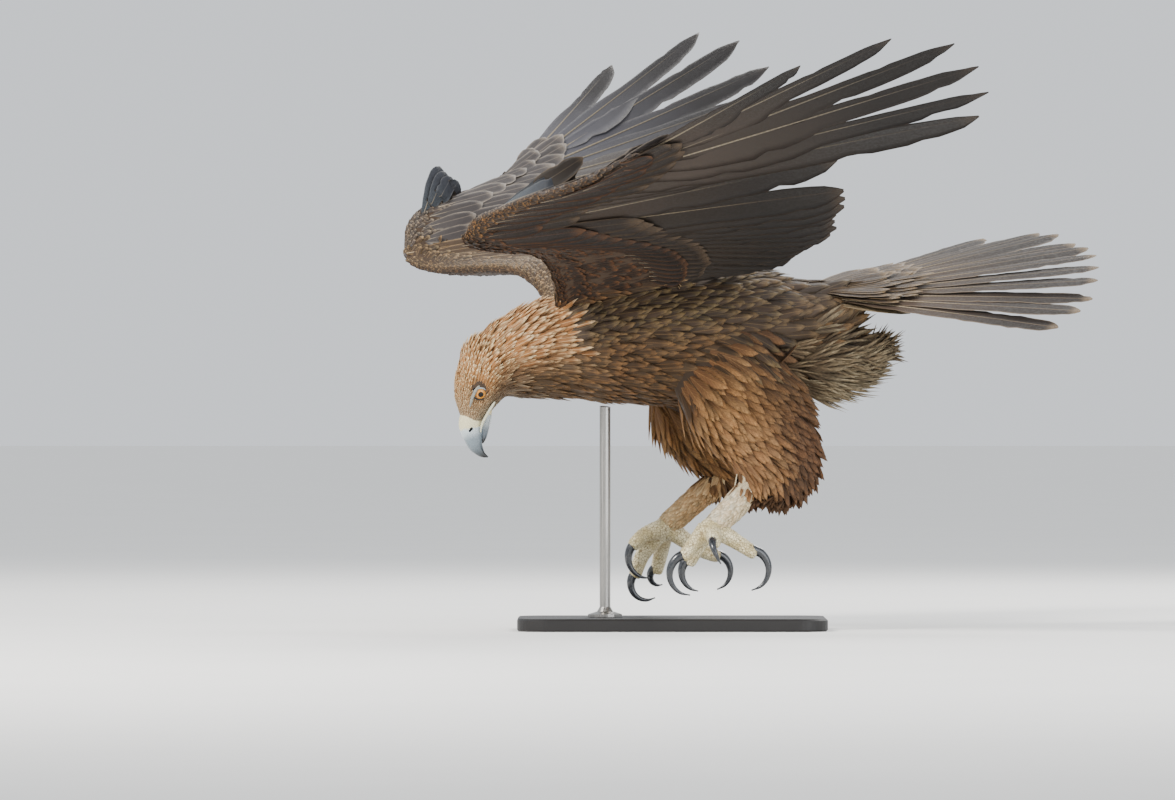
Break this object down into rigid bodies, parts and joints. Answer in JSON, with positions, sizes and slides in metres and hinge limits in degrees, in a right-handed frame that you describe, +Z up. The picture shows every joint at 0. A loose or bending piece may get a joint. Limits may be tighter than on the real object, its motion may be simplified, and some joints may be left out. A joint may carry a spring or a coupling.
{
  "type": "golden eagle model",
  "caption": "Life-size still model of a golden eagle in flight, wings raised and feet lowered, held over a flat base by a rod.",
  "frame": {"origin": "centre of the stand base's underside, on the floor", "axes": "+X towards the tail (the bird's length is turned 9 degrees about Z from it), +Y towards the bird's right wing, +Z up"},
  "size_m": [0.7697, 1.166, 0.6714],
  "materials": {
    "nape_gold": "soft layered hackle feathers, golden with darker streaks",
    "body_brown": "layered contour feathers, brown with rufous edges",
    "wing_brown": "stiff flight feathers and coverts, dark brown to slate grey",
    "tail_grey": "stiff tail feathers, grey-brown and marbled",
    "leg_buff": "short dense feathering on the lower leg, buff",
    "foot_skin": "scaled bare skin of the toes, pale yellow, satin",
    "claw_horn": "black horn, polished by wear",
    "bill_horn": "blue-grey horn turning black at the hook, pale cere",
    "eye_amber": "amber iris under a clear wet surface",
    "stand_black": "black satin lacquer",
    "stand_steel": "plain brushed rod"
  },
  "bodies": {
    "root": {"head": "nape_gold", "neck": "nape_gold", "torso": "body_brown", "tail": "tail_grey", "bill_upper": "bill_horn", "bill_lower": "bill_horn", "eye_left": "eye_amber", "eye_right": "eye_amber", "left_thigh": "body_brown", "right_thigh": "body_brown", "left_tarsus": "leg_buff", "right_tarsus": "leg_buff", "left_foot": "foot_skin", "right_foot": "foot_skin", "stand_base": "stand_black", "stand_rod": "stand_steel", "left_inner_wing": "wing_brown", "left_outer_wing": "wing_brown", "right_inner_wing": "wing_brown", "right_outer_wing": "wing_brown", "left_claw_1": "claw_horn", "left_claw_2": "claw_horn", "left_claw_3": "claw_horn", "left_claw_4": "claw_horn", "right_claw_1": "claw_horn", "right_claw_2": "claw_horn", "right_claw_3": "claw_horn", "right_claw_4": "claw_horn"}
  },
  "joints": []
}
